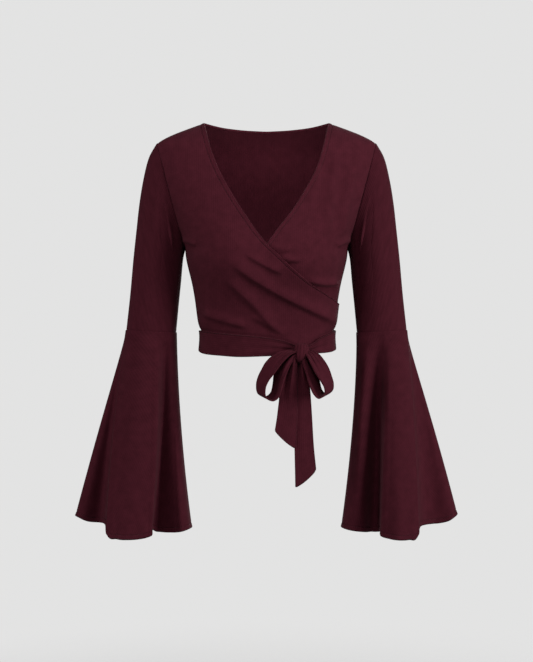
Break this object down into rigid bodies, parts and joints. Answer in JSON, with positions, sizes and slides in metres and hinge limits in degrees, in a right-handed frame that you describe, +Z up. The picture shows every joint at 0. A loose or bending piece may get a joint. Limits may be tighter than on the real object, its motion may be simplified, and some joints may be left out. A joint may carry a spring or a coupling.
{
  "type": "cropped wrap top with bell sleeves and a waist tie",
  "caption": "Cropped rib-knit wrap top in its worn, hollow form: crossed fronts, elbow-length set-in sleeves with flared flounces, and a waist tie with a bow.",
  "frame": {"origin": "midway between the two high shoulder points, where the wearer's shoulders carry the top", "axes": "+Z up; -Y out of the front; +X to the viewer's right as the front is seen, which is the wearer's left"},
  "size_m": [0.645, 0.217, 0.6941],
  "materials": {
    "wine_knit": "matte"
  },
  "bodies": {
    "root": {"back": "wine_knit", "over_front": "wine_knit", "under_front": "wine_knit", "sleeve_left": "wine_knit", "sleeve_right": "wine_knit", "flounce_left": "wine_knit", "flounce_right": "wine_knit", "waist_tie": "wine_knit", "bow_knot": "wine_knit", "bow_loop_left": "wine_knit", "bow_loop_right": "wine_knit", "bow_tail_left": "wine_knit", "bow_tail_right": "wine_knit"}
  },
  "joints": []
}
